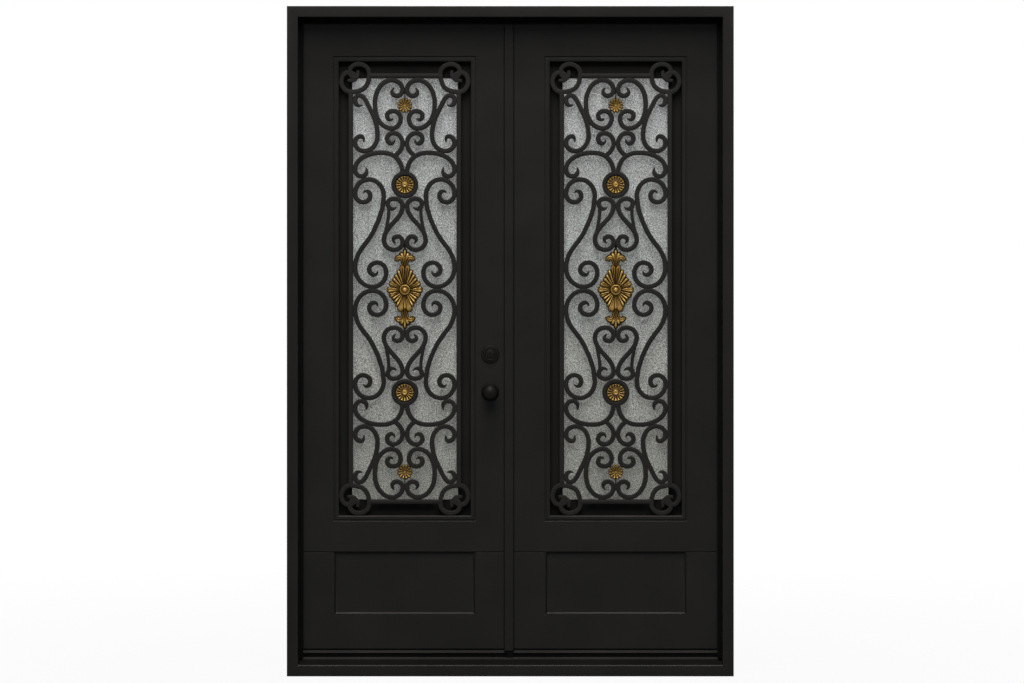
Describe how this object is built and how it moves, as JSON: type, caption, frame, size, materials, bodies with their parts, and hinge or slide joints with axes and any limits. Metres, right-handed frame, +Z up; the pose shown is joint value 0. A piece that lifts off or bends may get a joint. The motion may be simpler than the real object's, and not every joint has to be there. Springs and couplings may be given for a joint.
{
  "type": "wrought iron double entry door",
  "caption": "Black wrought iron double entry door in its frame: hinged glazed leaves with scrolled grilles, gilt castings, recessed kick panels, a turning knob and a deadbolt.",
  "frame": {"origin": "middle of the sill's underside, on the floor", "axes": "+X to the right seen from outside, +Y into the building, +Z up"},
  "size_m": [1.6256, 0.231, 2.4384],
  "materials": {
    "frame_paint": "satin",
    "leaf_paint": "satin",
    "ironwork_paint": "satin",
    "sash_paint": "matte",
    "rain_glass": "textured",
    "antique_gold": "antique gold paint",
    "lock_bronze": "satin",
    "hinge_steel": "satin"
  },
  "bodies": {
    "frame": {"left_jamb": "frame_paint", "right_jamb": "frame_paint", "head_jamb": "frame_paint", "sill": "frame_paint", "saddle": "frame_paint", "left_stop": "frame_paint", "right_stop": "frame_paint", "head_stop": "frame_paint", "left_frame_hinges": "hinge_steel", "right_frame_hinges": "hinge_steel"},
    "left_leaf": {"left_hinge_stile": "leaf_paint", "left_meeting_stile": "leaf_paint", "left_top_rail": "leaf_paint", "left_lock_rail": "leaf_paint", "left_bottom_rail": "leaf_paint", "left_kick_panel": "leaf_paint", "left_moulding_sides": "leaf_paint", "left_moulding_ends": "leaf_paint", "left_sash_sides": "sash_paint", "left_sash_ends": "sash_paint", "left_glass": "rain_glass", "left_grille": "ironwork_paint", "left_rosettes": "antique_gold", "left_cartouche": "antique_gold", "left_sweep": "leaf_paint", "left_leaf_hinges": "hinge_steel", "knob_roses": "lock_bronze", "deadbolt": "lock_bronze"},
    "right_leaf": {"right_hinge_stile": "leaf_paint", "right_meeting_stile": "leaf_paint", "right_top_rail": "leaf_paint", "right_lock_rail": "leaf_paint", "right_bottom_rail": "leaf_paint", "right_kick_panel": "leaf_paint", "right_moulding_sides": "leaf_paint", "right_moulding_ends": "leaf_paint", "right_sash_sides": "sash_paint", "right_sash_ends": "sash_paint", "right_glass": "rain_glass", "right_grille": "ironwork_paint", "right_rosettes": "antique_gold", "right_cartouche": "antique_gold", "right_sweep": "leaf_paint", "right_leaf_hinges": "hinge_steel", "astragal": "leaf_paint"},
    "knob": {"outside_knob": "lock_bronze", "inside_knob": "lock_bronze"}
  },
  "joints": [
    {"name": "left_leaf_swing", "type": "hinge", "parent": "frame", "child": "left_leaf", "pos_m": [-0.7703, 0.086, 1.2], "axis": [0, 0, 1], "range_deg": [0, 105]},
    {"name": "right_leaf_swing", "type": "hinge", "parent": "frame", "child": "right_leaf", "pos_m": [0.7703, 0.086, 1.2], "axis": [0, 0, -1], "range_deg": [0, 105]},
    {"name": "knob_turn", "type": "hinge", "parent": "left_leaf", "child": "knob", "pos_m": [-0.074, 0, 1.032], "axis": [0, 1, 0], "range_deg": [-60, 60], "stiffness_Nm_per_rad": 0.4}
  ]
}
